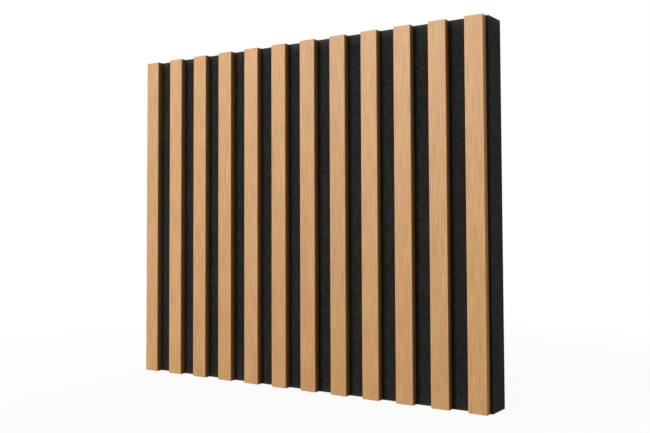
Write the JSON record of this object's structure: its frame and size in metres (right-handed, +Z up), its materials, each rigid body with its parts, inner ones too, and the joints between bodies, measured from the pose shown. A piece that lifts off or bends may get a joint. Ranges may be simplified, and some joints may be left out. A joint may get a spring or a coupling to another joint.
{
  "type": "acoustic slat wall panel",
  "caption": "Upright wood slats in an even row on a thick slab of dark sound-absorbing felt, cut square on all sides, for fixing flat to a wall.",
  "frame": {"origin": "centre of the felt's flat back, which lies against the wall", "axes": "+Y out of the back towards the wall, the slats face -Y; +Z up along the slats; +X to the right seen from the front"},
  "size_m": [0.6, 0.048, 0.5],
  "materials": {
    "wood": "matt, straight vertical grain",
    "felt": "needled felt, charcoal"
  },
  "bodies": {
    "root": {"felt_backing": "felt", "slat_01": "wood", "slat_02": "wood", "slat_03": "wood", "slat_04": "wood", "slat_05": "wood", "slat_06": "wood", "slat_07": "wood", "slat_08": "wood", "slat_09": "wood", "slat_10": "wood", "slat_11": "wood", "slat_12": "wood"}
  },
  "joints": []
}
